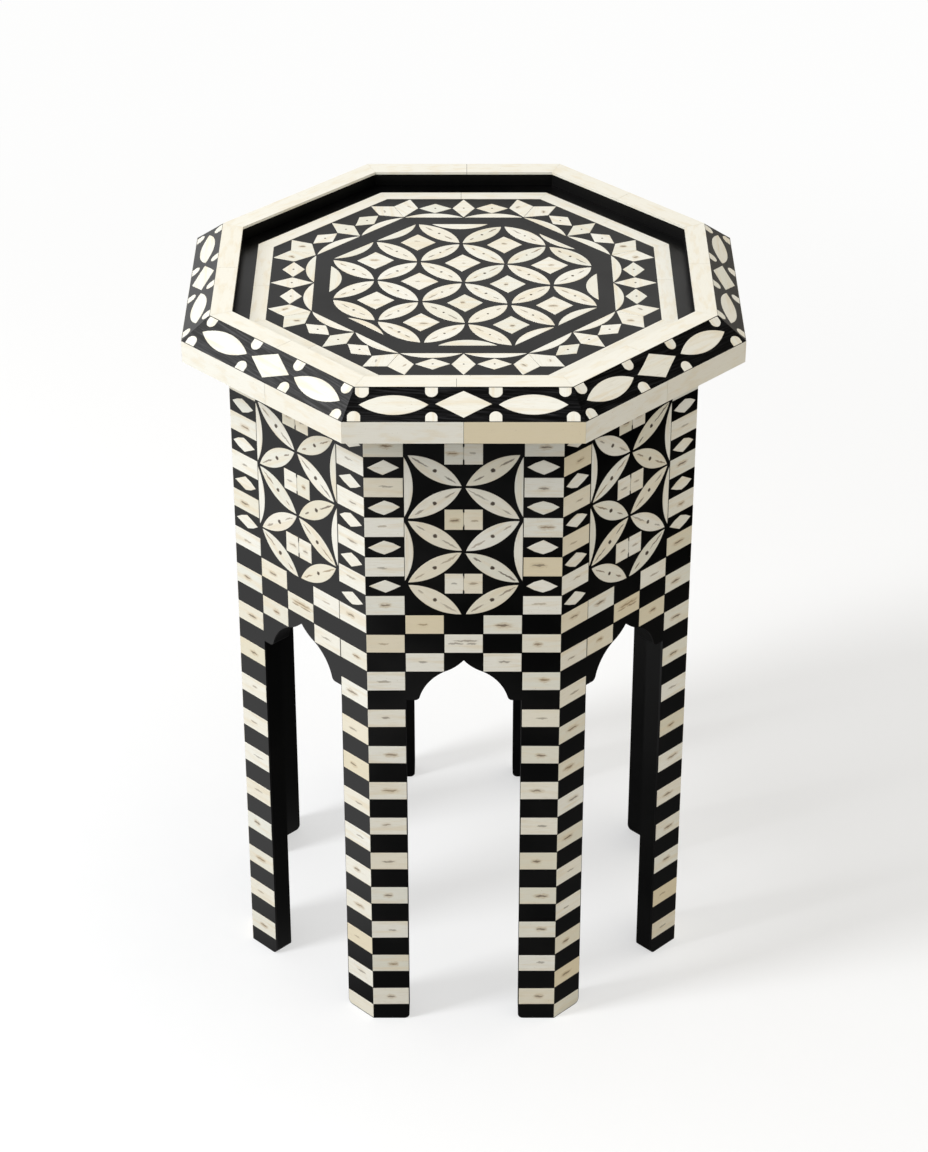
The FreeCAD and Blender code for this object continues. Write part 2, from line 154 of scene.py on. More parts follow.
# Rosette
LONG_CLEARANCE = 3.0
SHORT_CLEARANCE = 11.4
LATTICE_TURN = -1.0
LATTICE_REACH = 2
ROSETTE_LEAF_WIDTH = 15.0
ROSETTE_LEAF_GAP = 1.8
ROSETTE_DIAMOND_GAP = 4.5
ROSETTE_DIAMOND_STRETCH = 1.04
EDGE_SLIVER_GAP = 11.1
EDGE_SLIVER_BULGE = 8.5
END_SLIVER_GAP = 5.2
END_SLIVER_BULGE = 5.5

# How far hand-cut tiles stray from the drawing
ROW_LINE_SLIP = (-0.15, 0.35)
COLUMN_LINE_SLIP = (-0.2, 0.3)
ROW_SLANT = 0.2
LEAF_TIP_SLIP = 0.3
LEAF_SIDE_SLIP = 0.35
ROW_DIAMOND_SLIP = 0.45
ROW_DIAMOND_SWELL = 0.4
BEVEL_DIAMOND_SLIP = 0.35
SIDE_RHOMBUS_SLIP = 0.25
ROSETTE_DIAMOND_SLIP = 0.45

# Dark marks of the tiles, as described at Tile
NO_MARK = (0.0, 0.0, 0.0)
STREAK_DASH = (1.5, 2.4, 9.0)
STREAK_PAIR = (5.5, 5.0, 0.0)
BORDER_DOT = (0.0, 0.0, 0.8)
LEAF_MARKS = ((11.5, 13.5), (4.5, 6.5), (1.5, 1.8))
ROSETTE_MARKS = ((8.5, 11.5), (2.2, 4.6), (0.8, 1.2))

# Bone strips
STRIP_GAP = 0.12          # from the middle of a joint to the end of a strip
MITRE_GAP = 0.08
STRIP_JOINT_SLIP = 8.0
FRONT_EDGE_TONES = (0.25, 0.97)

# Heights and distances from the axis that follow
BEVEL_FOOT = RIM_TOP - BEVEL_RISE
BODY_HEIGHT = BEVEL_FOOT - EDGE_HEIGHT
ROW = (BODY_HEIGHT - FOOT_ROW - TOP_ROW) / ROWS
HALF_FACE = BODY * HALF_TURN_TAN
LEG_INNER = HALF_FACE - LEG_WIDTH
RIM_OUTER = LID - BEVEL_RUN
RIM_INNER = RIM_OUTER - RIM_WIDTH
BOARD_TOP = BODY_HEIGHT + TOP_BOARD
TRAY = BOARD_TOP + BONE
FRAME_OUTER = RIM_INNER - TRAY_MARGIN
FRAME_INNER = FRAME_OUTER - FRAME_WIDTH
CRESCENT_LINE = FRAME_INNER - BORDER_WIDTH
BAND_INNER = CRESCENT_LINE - BAND_WIDTH
LATTICE_LONG = (BAND_INNER - LONG_CLEARANCE) / LATTICE_REACH
LATTICE_SHORT = (BAND_INNER - SHORT_CLEARANCE) / LATTICE_REACH
BEVEL_LENGTH = math.hypot(BEVEL_RUN, BEVEL_RISE)

# Planes of the finished faces: x to the right along the front side, y up the face
FACE_PLANE = Matrix.Translation((0, -BODY, 0)) @ Matrix.Rotation(math.pi / 2, 4, "X")
BEVEL_PLANE = (
    Matrix.Translation((0, -LID, BEVEL_FOOT))
    @ Matrix.Rotation(math.atan2(BEVEL_RISE, BEVEL_RUN), 4, "X")
)
TRAY_PLANE = Matrix.Translation((0, 0, TRAY))


def at_side(plane, side):
    """The plane turned from the front to another side of the table."""
    return Matrix.Rotation(math.radians(side * TURN), 4, "Z") @ plane


def row_foot(row):
    """Height of the lower edge of a row; row -1 is the foot row."""
    return 0.0 if row < 0 else FOOT_ROW + row * ROW


def about(value, amount):
    """The value with a random error of up to the amount either way."""
    return value + dice.uniform(-amount, amount)


def pale(limit):
    """Random tone from the palest bone, 0, up to a limit; 1 is tan."""
    return dice.uniform(0.0, limit)


def pore_mark(along=3.0, across=1.4, low=3.0, high=5.5):
    """A dark dash near the middle of a tile, a little different on each."""
    return about(0.0, along), about(0.0, across), dice.uniform(low, high)


def pair_mark(ranges):
    return tuple(dice.uniform(*limits) for limits in ranges)


# Outlines of tiles


def area(outline):
    """Area that is positive where the outline runs anticlockwise."""
    edges = zip(outline, outline[1:] + outline[:1])
    return sum(x0 * y1 - x1 * y0 for (x0, y0), (x1, y1) in edges) / 2


class Tile:
    """Outline of one bone tile in its drawing plane, with what its face shows.

    The angle is the way of the grain. Dash is (offset along it, offset across it, half length)
    of one dark mark. Pair is (distance from the middle, half length) of two more marks, and the
    radius of the dot between them. Mitre is the side, -1 or 1, where the tile's back follows
    the mitre of the boards.
    """

    def __init__(self, outline, centre, angle=0.0, dash=NO_MARK, pair=NO_MARK, tone=None, mitre=0):
        self.outline = outline if area(outline) > 0 else outline[::-1]
        self.centre = centre
        self.angle = angle
        self.dash = dash
        self.pair = pair
        self.tone = dice.random() if tone is None else tone
        self.mitre = mitre
        self.seed = dice.random()


def turned(point, way):
    x, y = point
    cos, sin = math.cos(way), math.sin(way)
    return x * cos - y * sin, x * sin + y * cos


def turned_tile(tile, side):
    """Moves a tile of the tray from the front to another side of the table."""
    way = math.radians(side * TURN)
    tile.outline = [turned(point, way) for point in tile.outline]
    tile.centre = turned(tile.centre, way)
    tile.angle += way
    return tile


def octagon(apothem):
    corner = (apothem * HALF_TURN_TAN, -apothem)
    return [turned(corner, math.radians(side * TURN)) for side in range(SIDES)]


def rhombus(centre, width, height):
    x, y = centre
    return [(x - width / 2, y), (x, y - height / 2), (x + width / 2, y), (x, y + height / 2)]


def rectangle(left, bottom, right, top):
    return [(left, bottom), (right, bottom), (right, top), (left, top)]


def middle_of(start, end):
    return (start[0] + end[0]) / 2, (start[1] + end[1]) / 2


def way_of(start, end):
    return math.atan2(end[1] - start[1], end[0] - start[0])


def hand_cut(outline, amount, swell=0.0):
    """Outline with uneven corners and sides that bend a little, as a saw leaves them.

    The outline runs anticlockwise; the sides bulge by the swell on average.
    """
    corners = [(about(x, amount), about(y, amount)) for x, y in outline]
    points = []
    for here, after in zip(corners, corners[1:] + corners[:1]):
        points.append(here)
        bend = about(-swell, amount)
        way = way_of(here, after)
        x, y = middle_of(here, after)
        points.append((x - bend * math.sin(way), y + bend * math.cos(way)))
    return points


def shortened(start, end, gap):
    length = math.dist(start, end)
    step = ((end[0] - start[0]) * gap / length, (end[1] - start[1]) * gap / length)
    return (start[0] + step[0], start[1] + step[1]), (end[0] - step[0], end[1] - step[1])


def bowed(start, end, sag, flats=CURVE_FLATS):
    """Points from start up to end on an arc that bulges to the left of the way."""
    length = math.dist(start, end)
    ahead = ((end[0] - start[0]) / length, (end[1] - start[1]) / length)
    half_angle = 2 * math.atan(2 * sag / length)
    radius = length / 2 / math.sin(half_angle)
    points = []
    for flat in range(flats):
        angle = half_angle * (2 * flat / flats - 1)
        along = length / 2 + radius * math.sin(angle)
        aside = radius * (math.cos(angle) - math.cos(half_angle))
        points.append((
            start[0] + along * ahead[0] - aside * ahead[1],
            start[1] + along * ahead[1] + aside * ahead[0],
        ))
    return points


def leaf(start, end, width, gap, pair=NO_MARK, tone=None):
    """Pointed leaf between two crossing points."""
    start, end = shortened(start, end, gap)
    start = (about(start[0], LEAF_TIP_SLIP), about(start[1], LEAF_TIP_SLIP))
    end = (about(end[0], LEAF_TIP_SLIP), about(end[1], LEAF_TIP_SLIP))
    left = about(width / 2, LEAF_SIDE_SLIP)
    right = about(width / 2, LEAF_SIDE_SLIP)
    outline = bowed(start, end, -left) + bowed(end, start, -right)
    return Tile(outline, middle_of(start, end), way_of(start, end), pair=pair, tone=tone)


def half_leaf(start, end, bulge, gap):
    """Leaf with one straight side; it bulges to the left of the way from start to end."""
    start, end = shortened(start, end, gap)
    outline = bowed(start, end, bulge) + [end]
    return Tile(outline, middle_of(start, end), way_of(start, end), tone=pale(0.5))


# Tiles of a side


def arch_line():
    """Right half of the opening, from the foot up to the apex."""
    apex = (0.0, row_foot(LEG_ROWS) + APEX_RISE)
    ledge = apex[1] - ARCH_RISE
    cove_foot = (LEG_INNER - LEDGE, ledge)
    cove_head = (cove_foot[0] - COVE_WIDTH, ledge + COVE_RISE)
    ogee_foot = (OGEE_WIDTH, apex[1] - OGEE_RISE)
    round_foot = (LEG_INNER + FOOT_ROUND, 0.0)
    round_head = (LEG_INNER, FOOT_ROUND)
    round_sag = FOOT_ROUND * (1 - math.sqrt(0.5))
    points = bowed(round_foot, round_head, round_sag, FOOT_FLATS)
    points += [round_head, (LEG_INNER, ledge)]
    points += bowed(cove_foot, cove_head, COVE_SAG, COVE_FLATS)
    points += bowed(cove_head, ogee_foot, -HAUNCH_SAG, HAUNCH_FLATS)
    points += bowed(ogee_foot, apex, OGEE_SAG, OGEE_FLATS)
    return points + [apex]


def leg_tile(row, sign):
    """Tile of a leg column on the left (-1) or right (1), mitred at the table's corner."""
    bottom = row_foot(row) + JOINT / 2 + dice.uniform(*ROW_LINE_SLIP)
    top = BODY_HEIGHT
    if row < ROWS:
        top = row_foot(row + 1) - JOINT / 2 - dice.uniform(*ROW_LINE_SLIP)
    inner = LEG_INNER + JOINT / 2 + dice.uniform(*COLUMN_LINE_SLIP)
    slant = about(0.0, ROW_SLANT) if 0 <= row < ROWS else 0.0
    outline = [
        (inner, bottom),
        (HALF_FACE, bottom + slant),
        (HALF_FACE, top),
        (inner, top - slant),
    ]
    if row < 0:
        low_foot = (inner + FOOT_ROUND, bottom)
        foot = bowed((inner, FOOT_ROUND), low_foot, -FOOT_TILE_SAG, FOOT_FLATS)
        outline = foot + [low_foot] + outline[1:]
    outline = [(sign * x, y) for x, y in outline]
    centre = (sign * (inner + HALF_FACE) / 2, (bottom + top) / 2)
    mark = pore_mark() if row >= 0 else NO_MARK
    return Tile(outline, centre, dash=mark, mitre=sign)


def leg_column(rows, sign):
    """Tiles in every second row of a leg column, and diamonds beside the leaf field."""
    first = FIRST_ROW[rows]
    tiles = []
    for row in range(first, ROWS + 1):
        if (row - first) % 2 == 0:
            tiles.append(leg_tile(row, sign))
        elif LEG_ROWS + CHECK_ROWS <= row < ROWS:
            centre = (sign * (HALF_FACE - LEG_WIDTH / 2), row_foot(row) + ROW / 2)
            outline = rhombus(centre, ROW_DIAMOND_WIDTH, ROW_DIAMOND_HEIGHT)
            outline = hand_cut(outline, ROW_DIAMOND_SLIP, ROW_DIAMOND_SWELL)
            tiles.append(Tile(outline, centre, tone=pale(0.5)))
    return tiles


def checks():
    """Checks between the legs, above the arch. The middle one has long streaks."""
    column = 2 * LEG_INNER / CHECK_COLUMNS
    tiles = []
    for row in range(CHECK_ROWS):
        bottom = row_foot(LEG_ROWS + row) + JOINT / 2
        top = row_foot(LEG_ROWS + row + 1) - JOINT / 2
        for place in range(CHECK_COLUMNS):
            if (row + place) % 2:
                continue
            left = -LEG_INNER + place * column + JOINT / 2
            right = left + column - JOINT
            outline = rectangle(left, bottom, right, top)
            centre = ((left + right) / 2, (bottom + top) / 2)
            if place == 1:
                tiles.append(Tile(outline, centre, dash=STREAK_DASH, pair=STREAK_PAIR))
            else:
                tiles.append(Tile(outline, centre, dash=pore_mark(2.0, 1.0)))
    return tiles


def plaque_half(sign, middle):
    """Left (-1) or right (1) half of a plaque. The joint widens to a nick at both ends."""
    near = sign * PLAQUE_JOINT / 2
    nick = sign * NICK_WIDTH / 2
    far = sign * PLAQUE_WIDTH / 2
    foot = middle - PLAQUE_HEIGHT / 2
    head = middle + PLAQUE_HEIGHT / 2
    top_nick = dice.uniform(*NICK_LENGTH)
    low_nick = dice.uniform(*NICK_LENGTH)
    outline = [
        (nick, foot),
        (far, foot),
        (far, head),
        (nick, head),
        (nick, head - NICK_SHOULDER * top_nick),
        (near, head - top_nick),
        (near, foot + low_nick),
        (nick, foot + NICK_SHOULDER * low_nick),
    ]
    return Tile(outline, ((near + far) / 2, middle), dash=pore_mark(1.0, 1.0, 2.0, 4.0))


def leaf_field():
    """Leaves that zigzag between the middle and the edges of the field.

    Plaques lie between them in the middle, and slivers along the edges. Above the topmost
    plaque the field is plain black.
    """
    bottom = row_foot(LEG_ROWS + CHECK_ROWS)
    step = (BODY_HEIGHT - bottom) / LEAF_STEPS
    crossing = LEG_INNER - FIELD_MARGIN
    edge = LEG_INNER - JOINT / 2
    tiles = []
    for count in range(0, LEAF_STEPS, 2):
        low = bottom + count * step
        side = low + step
        topmost = count + 2 == LEAF_STEPS
        for sign in (-1, 1):
            tiles.append(plaque_half(sign, side))
            for middle in (low,) if topmost else (low, side + step):
                ends = (0.0, middle), (sign * crossing, side)
                tiles.append(leaf(*ends, LEAF_WIDTH, LEAF_GAP, pair_mark(LEAF_MARKS)))
            if not topmost:
                ends = (sign * edge, side), (sign * edge, side + 2 * step)
                tiles.append(half_leaf(*ends, sign * SLIVER_BULGE, SLIVER_GAP))
    return tiles


def side_tiles(rows):
    return leg_column(rows[0], -1) + leg_column(rows[1], 1) + checks() + leaf_field()


# Tiles of the lid


def tab(foot, up):
    """Half-round tab on an edge of the bevel; it points up (1) or down (-1) the slope."""
    x, y = foot
    half = dice.uniform(*TAB_HALF_WIDTH)
    shoulder = y + up * dice.uniform(*TAB_SHOULDER)
    head = bowed((x + half, shoulder), (x - half, shoulder), -up * TAB_HEAD, TAB_FLATS)
    outline = [(x - half, y), (x + half, y)] + head + [(x - half, shoulder)]
    return Tile(outline, (x, y + up * TAB_MIDDLE), math.pi / 2, tone=pale(0.4))


def bevel_tiles():
    """Diamond between two pointed ovals, with tabs along both edges of the bevel."""
    middle = BEVEL_LENGTH / 2
    oval_near = BEVEL_DIAMOND_LENGTH / 2 + BEVEL_GAP
    oval_far = (LID - BEVEL_RUN / 2) * HALF_TURN_TAN - OVAL_CLEARANCE
    tab_near = BEVEL_DIAMOND_LENGTH / 2 + BEVEL_GAP / 2
    low_end = LID * HALF_TURN_TAN - LOW_TAB_INSET
    high_end = RIM_OUTER * HALF_TURN_TAN - HIGH_TAB_INSET
    outline = rhombus((0.0, middle), BEVEL_DIAMOND_LENGTH, BEVEL_DIAMOND_WIDTH)
    outline = hand_cut(outline, BEVEL_DIAMOND_SLIP)
    tiles = [Tile(outline, (0.0, middle), tone=pale(0.3))]
    for sign in (-1, 1):
        ends = (sign * oval_near, middle), (sign * oval_far, middle)
        tiles.append(leaf(*ends, OVAL_WIDTH, 0.0, tone=pale(0.35)))
        for place in (tab_near, low_end):
            tiles.append(tab((sign * place, JOINT), 1))
        for place in (tab_near, high_end):
            tiles.append(tab((sign * place, BEVEL_LENGTH - JOINT), -1))
    return tiles


def border_tiles():
    """One side of the border: crescents, a rhombus between two flatter ones, and half arrows."""
    corner = CRESCENT_LINE * HALF_TURN_TAN
    inner_tip = CRESCENT_LINE + TIP_GAP
    outer_tip = FRAME_INNER - TIP_GAP
    middle = (inner_tip + outer_tip) / 2
    notch = inner_tip + ARROW_DEPTH
    arrow_side = inner_tip * HALF_TURN_TAN - ARROW_REACH
    arrow = [
        (inner_tip * HALF_TURN_TAN - ARROW_JOINT, -inner_tip),
        (arrow_side, -middle),
        (FRAME_INNER * HALF_TURN_TAN - ARROW_TIP, -outer_tip),
        (notch * HALF_TURN_TAN - ARROW_JOINT, -notch),
    ]
    star_side = STAR_RHOMBUS_WIDTH / 2
    side_length = arrow_side - star_side - 3 * TIP_GAP
    side_depth = SIDE_RHOMBUS_WIDTH - SIDE_RHOMBUS_TRIM
    side_middle = (arrow_side + star_side) / 2
    side_height = -(CRESCENT_LINE + CRESCENT_BULGE + TIP_GAP + SIDE_RHOMBUS_WIDTH / 2)
    star = rhombus((0.0, -middle), STAR_RHOMBUS_WIDTH, outer_tip - inner_tip)
    tiles = [Tile(star, (0.0, -middle), pair=BORDER_DOT, tone=pale(0.6))]
    for sign in (-1, 1):
        centre = (sign * side_middle, side_height)
        outline = hand_cut(rhombus(centre, side_length, side_depth), SIDE_RHOMBUS_SLIP)
        tiles.append(Tile(outline, centre, pair=BORDER_DOT, tone=pale(0.7)))
        outline = [(sign * x, y) for x, y in arrow]
        centre = (sign * ARROW_MIDDLE[0], ARROW_MIDDLE[1])
        mark = (about(0.0, 1.0), about(0.0, 1.0), ARROW_DASH)
        tiles.append(Tile(outline, centre, sign * ARROW_WAY, dash=mark, tone=pale(0.45)))
        ends = (0.0, -CRESCENT_LINE), (sign * corner, -CRESCENT_LINE)
        tiles.append(half_leaf(*ends, -sign * CRESCENT_BULGE, TIP_GAP))
    return tiles


def lattice_point(short_steps, long_steps):
    short_x, short_y = turned((LATTICE_SHORT, 0.0), math.radians(LATTICE_TURN + TURN))
    long_x, long_y = turned((LATTICE_LONG, 0.0), math.radians(LATTICE_TURN - TURN))
    return short_steps * short_x + long_steps * long_x, short_steps * short_y + long_steps * long_y


def in_rosette(short_steps, long_steps):
    """The lattice is a square of crossing points without its four corners."""
    furthest = max(abs(short_steps), abs(long_steps))
    return furthest <= LATTICE_REACH and abs(short_steps) + abs(long_steps) < 2 * LATTICE_REACH


def lattice_leaf(start, end):
    """Leaf between two crossing points; after the last long step only its inner half."""
    here = lattice_point(*start)
    there = lattice_point(*end)
    if abs(start[1]) == LATTICE_REACH and start[1] == end[1]:
        inward = math.copysign(ROSETTE_LEAF_WIDTH / 2, start[1])
        return half_leaf(here, there, inward, ROSETTE_LEAF_GAP)
    marks = pair_mark(ROSETTE_MARKS)
    return leaf(here, there, ROSETTE_LEAF_WIDTH, ROSETTE_LEAF_GAP, marks, pale(0.6))


def edge_sliver(side, middle, length, bulge):
    """Sliver with its straight edge along the black band, further out than a lattice point."""
    line_y = -(BAND_INNER - JOINT)
    way = math.radians(side * TURN)
    reach = LATTICE_REACH - 0.5
    along = reach * (middle[0] * math.cos(way) + middle[1] * math.sin(way))
    ends = (along - length / 2, line_y), (along + length / 2, line_y)
    return turned_tile(half_leaf(*ends, bulge, 0.0), side)


def rosette_tiles():
    """Leaves along the lattice lines, a diamond in every whole cell, and slivers round the edge."""
    steps = range(-LATTICE_REACH, LATTICE_REACH + 1)
    edge = (LATTICE_SHORT - ROSETTE_LEAF_WIDTH) / 2 - ROSETTE_DIAMOND_GAP
    depth = 2 * edge * math.hypot(1, ROSETTE_DIAMOND_STRETCH)
    width = depth / ROSETTE_DIAMOND_STRETCH
    tiles = []
    for short in steps:
        for long in steps:
            for ahead in ((short + 1, long), (short, long + 1)):
                if in_rosette(short, long) and in_rosette(*ahead):
                    tiles.append(lattice_leaf((short, long), ahead))
            cell = [(short, long), (short + 1, long), (short, long + 1), (short + 1, long + 1)]
            if all(in_rosette(*point) for point in cell):
                centre = lattice_point(short + 0.5, long + 0.5)
                outline = hand_cut(rhombus(centre, width, depth), ROSETTE_DIAMOND_SLIP)
                mark = pore_mark(2.0, 2.0, 1.5, 4.0)
                tiles.append(Tile(outline, centre, dash=mark, tone=pale(0.7)))
    last = LATTICE_REACH
    tips = math.dist(lattice_point(last, last - 1), lattice_point(last - 1, last))
    for count, place in enumerate([(-1, 1), (1, 1), (1, -1), (-1, -1)]):
        length = tips - 2 * EDGE_SLIVER_GAP
        tiles.append(edge_sliver(2 * count, lattice_point(*place), length, EDGE_SLIVER_BULGE))
    for count, short in enumerate((1, -1)):
        length = LATTICE_LONG - 2 * END_SLIVER_GAP
        middle = lattice_point(short, 0)
        tiles.append(edge_sliver(4 * count + 3, middle, length, END_SLIVER_BULGE))
    return tiles


# Meshes

NEAR = 0.01               # points this close to a side's corner lie on its mitre
SHARPEST_LEAN = 0.35      # keeps the chamfer of a pointed tip short


def inset(outline, amount):
    """Outline moved inwards, corner by corner. The outline runs anticlockwise."""
    moved = []
    corners = zip(outline[-1:] + outline[:-1], outline, outline[1:] + outline[:1])
    for (x0, y0), (x, y), (x1, y1) in corners:
        before = Vector((x - x0, y - y0)).normalized()
        after = Vector((x1 - x, y1 - y)).normalized()
        side = Vector((-(before.y + after.y), before.x + after.x)).normalized()
        lean = max(SHARPEST_LEAN, side.dot(Vector((-after.y, after.x))))
        moved.append((x + side.x * amount / lean, y + side.y * amount / lean))
    return moved


class Piece:
    """Mesh under construction, in millimetres, with what its points tell the material."""

    def __init__(self, name):
        self.name = name
        self.verts = []
        self.faces = []
        self.told = {}

    def add_point(self, point, **told):
        self.verts.append(tuple(point))
        for key, value in told.items():
            self.told.setdefault(key, []).append(value)

    def add_tile(self, tile, plane):
        """Closed tile: back, sides, a small chamfer and the polished face."""
        first = len(self.verts)
        count = len(tile.outline)
        face = inset(tile.outline, CHAMFER)
        for points, height in ((tile.outline, -BONE), (tile.outline, -CHAMFER), (face, 0.0)):
            for x, y in points:
                if tile.mitre and height == -BONE and abs(x) > HALF_FACE - NEAR:
                    x = tile.mitre * (HALF_FACE - BONE * HALF_TURN_TAN)
                from_centre = (x - tile.centre[0], y - tile.centre[1])
                self.add_point(
                    plane @ Vector((x, y, height)),
                    place=(*turned(from_centre, -tile.angle), height),
                    look=(tile.tone, tile.seed, 0.0),
                    dash=tile.dash,
                    pair=tile.pair,
                )
        self.faces.append([first + index for index in reversed(range(count))])
        for low in (first, first + count):
            for here in range(count):
                after = (here + 1) % count
                high = low + count
                self.faces.append([low + here, low + after, high + after, high + here])
        self.faces.append([first + 2 * count + index for index in range(count)])

    def add_bar(self, section, left, right, tone, seed, face, side):
        """Closed strip along a side, from a section of (apothem, height) points.

        An end given as None is mitred. The bone shows from the section's point number face on.
        """
        first = len(self.verts)
        count = len(section)
        turn = Matrix.Rotation(math.radians(side * TURN), 3, "Z")
        for end, sign in ((left, -1), (right, 1)):
            for apothem, height in section:
                along = sign * (apothem * HALF_TURN_TAN - MITRE_GAP) if end is None else end
                across = math.dist((apothem, height), section[face])
                self.add_point(
                    turn @ Vector((along, -apothem, height)),
                    place=(along, across, 0.0),
                    look=(tone, seed, 0.0),
                    dash=NO_MARK,
                    pair=NO_MARK,
                )
        self.faces.append([first + index for index in range(count)])
        self.faces.append([first + count + index for index in reversed(range(count))])
        for here in range(count):
            low = first + here
            high = first + (here + 1) % count
            self.faces.append([high, low, low + count, high + count])

    def add_ground(self, outline, tiles, plane, mitred=False):
        """Resin slab between the tiles: the outline with a hole for every tile."""
        points = []
        loops = []
        for loop in [outline] + [tile.outline for tile in tiles]:
            loops.append([len(points) + index for index in range(len(loop))])
            points += [Vector(point) for point in loop]
        found = delaunay_2d_cdt(points, [], loops, 1, 1e-4)
        flat, faces, origins = found[0], found[2], found[5]
        kept = [list(face) for face, origin in zip(faces, origins) if list(origin) == [0]]
        used = sorted({index for face in kept for index in face})
        number = {index: place for place, index in enumerate(used)}
        first = len(self.verts)
        count = len(used)
        for height in (-BONE, -SUNK):
            for index in used:
                x, y = flat[index]
                if mitred and abs(x) > HALF_FACE - NEAR:
                    x = math.copysign(HALF_FACE + height * HALF_TURN_TAN, x)
                self.add_point(plane @ Vector((x, y, height)), place=(x, y, height))
        edges = {}
        for face in kept:
            corners = [first + count + number[index] for index in face]
            self.faces.append(corners)
            self.faces.append([corner - count for corner in reversed(corners)])
            for edge in zip(corners, corners[1:] + corners[:1]):
                edges[edge] = True
        for here, after in edges:
            if (after, here) not in edges:
                self.faces.append([here, here - count, after - count, after])

    def finish(self, material, replaced=()):
        mesh = bpy.data.meshes.new(self.name)
        mesh.from_pydata([(x / 1000, y / 1000, z / 1000) for x, y, z in self.verts], [], self.faces)
        for key, values in self.told.items():
            attribute = mesh.attributes.new(key, "FLOAT_VECTOR", "POINT")
            attribute.data.foreach_set("vector", [number for value in values for number in value])
        mesh.materials.append(material)
        mesh.update()
        piece = bpy.data.objects.new(self.name, mesh)
        bpy.context.scene.collection.objects.link(piece)
        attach(piece, "root")
        if replaced:
            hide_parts(*replaced)


# Materials


class Graph:
    """Node tree of a material or world, with short calls for arithmetic.

    A value is a number, a colour as (red, green, blue), or the output of another node.
    """

    def __init__(self, owner):
        owner.use_nodes = True
        self.owner = owner
        self.tree = owner.node_tree
        self.shader = self.tree.nodes.get("Principled BSDF")

    def node(self, kind, **settings):
        made = self.tree.nodes.new(kind)
        for key, value in settings.items():
            setattr(made, key, value)
        return made

    def link(self, value, socket):
        if isinstance(value, bpy.types.NodeSocket):
            self.tree.links.new(value, socket)
        else:
            socket.default_value = (*value, 1.0) if isinstance(value, tuple) else value

    def link_all(self, values, sockets):
        for value, socket in zip(values, sockets):
            self.link(value, socket)

    def set(self, **values):
        for key, value in values.items():
            self.link(value, self.shader.inputs[key.replace("_", " ")])

    def math(self, operation, *values):
        made = self.node("ShaderNodeMath", operation=operation)
        self.link_all(values, made.inputs)
        return made.outputs[0]

    def plus(self, first, second):
        return self.math("ADD", first, second)

    def minus(self, first, second):
        return self.math("SUBTRACT", first, second)

    def times(self, first, second):
        return self.math("MULTIPLY", first, second)

    def larger(self, first, second):
        return self.math("MAXIMUM", first, second)

    def split(self, vector):
        made = self.node("ShaderNodeSeparateXYZ")
        self.link(vector, made.inputs[0])
        return made.outputs

    def vector(self, *values):
        made = self.node("ShaderNodeCombineXYZ")
        self.link_all(values, made.inputs)
        return made.outputs[0]

    def attribute(self, name):
        return self.split(self.node("ShaderNodeAttribute", attribute_name=name).outputs["Vector"])

    def coordinates(self, kind):
        return self.node("ShaderNodeTexCoord").outputs[kind]

    def light_path(self):
        return self.node("ShaderNodeLightPath").outputs

    def noise(self, place, scale, detail=2.0, roughness=0.5):
        made = self.node("ShaderNodeTexNoise")
        sockets = [made.inputs[key] for key in ("Vector", "Scale", "Detail", "Roughness")]
        self.link_all((place, scale, detail, roughness), sockets)
        return made.outputs["Fac"]

    def step(self, value, low, high):
        """Smooth step from 0 at low to 1 at high."""
        made = self.node("ShaderNodeMapRange", interpolation_type="SMOOTHSTEP")
        sockets = [made.inputs[key] for key in ("Value", "From Min", "From Max")]
        self.link_all((value, low, high), sockets)
        return made.outputs["Result"]

    def mix(self, share, first, second):
        made = self.node("ShaderNodeMix", data_type="RGBA")
        self.link_all((share, first, second), (made.inputs[0], made.inputs[6], made.inputs[7]))
        return made.outputs[2]

    def ramp(self, value, stops):
        made = self.node("ShaderNodeValToRGB")
        ramp = made.color_ramp
        while len(ramp.elements) < len(stops):
            ramp.elements.new(0.5)
        for element, (place, colour) in zip(ramp.elements, stops):
            element.position = place
            element.color = (*colour, 1.0)
        self.link(value, made.inputs[0])
        return made.outputs[0]

    def bump(self, height, strength, distance):
        made = self.node("ShaderNodeBump")
        sockets = [made.inputs[key] for key in ("Height", "Strength", "Distance")]
        self.link_all((height, strength, distance), sockets)
        self.link(made.outputs["Normal"], self.shader.inputs["Normal"])

    def emission(self, colour, strength):
        made = self.node("ShaderNodeEmission")
        self.link_all((colour, strength), (made.inputs["Color"], made.inputs["Strength"]))
        return made.outputs[0]

    def mix_shaders(self, share, first, second):
        made = self.node("ShaderNodeMixShader")
        self.link_all((share, first, second), made.inputs)
        return made.outputs[0]


BONE_TONES = [
    (0.0, (0.87, 0.862, 0.79)),
    (0.5, (0.855, 0.83, 0.735)),
    (0.85, (0.82, 0.765, 0.62)),
    (1.0, (0.77, 0.67, 0.46)),
]
BONE_GREY = (0.74, 0.75, 0.66)
BONE_CLOUD = (0.79, 0.7, 0.52)
BONE_GRAIN = (0.6, 0.54, 0.41)
BONE_PORE = (0.4, 0.31, 0.18)
BONE_STAIN = (0.52, 0.38, 0.2)
BONE_EDGE = (0.3, 0.25, 0.17)
MARK_TONES = [(0.0, (0.09, 0.065, 0.045)), (0.6, (0.19, 0.13, 0.08)), (1.0, (0.3, 0.2, 0.1))]
DOT_COLOUR = (0.06, 0.042, 0.028)
DASH_HALF_WIDTH = 0.85
PAIR_HALF_WIDTH = 0.75
STAIN_HALF_WIDTH = 2.6
STAIN_LENGTH = 1.35       # of a stain, in lengths of its dash
SEED_SPREAD = 900.0       # sets the tiles apart in the noise
SHORTEST = 0.02


